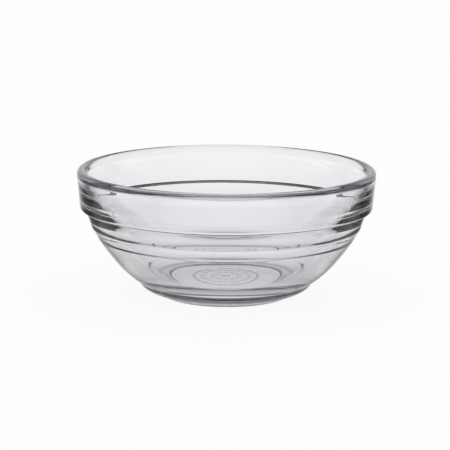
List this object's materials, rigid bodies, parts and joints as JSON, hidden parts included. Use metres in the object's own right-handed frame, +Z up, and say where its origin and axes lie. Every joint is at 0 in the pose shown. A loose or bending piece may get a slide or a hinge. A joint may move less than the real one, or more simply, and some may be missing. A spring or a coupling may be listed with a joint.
{
  "type": "stacking glass bowl",
  "caption": "Small round stacking bowl in clear pressed glass, with a thick collar under the rim, a stepped belly and a low foot with a flat resting ring.",
  "frame": {"origin": "middle of the foot, on the plane that the bowl stands on", "axes": "+Z up along the axis of the bowl; X and Y are free, because the bowl is round"},
  "size_m": [0.105, 0.105, 0.045],
  "materials": {
    "clear_glass": "clear pressed and toughened glass, smooth and glossy, with fine grooves on the resting ring"
  },
  "bodies": {
    "root": {"bowl": "clear_glass"}
  },
  "joints": []
}
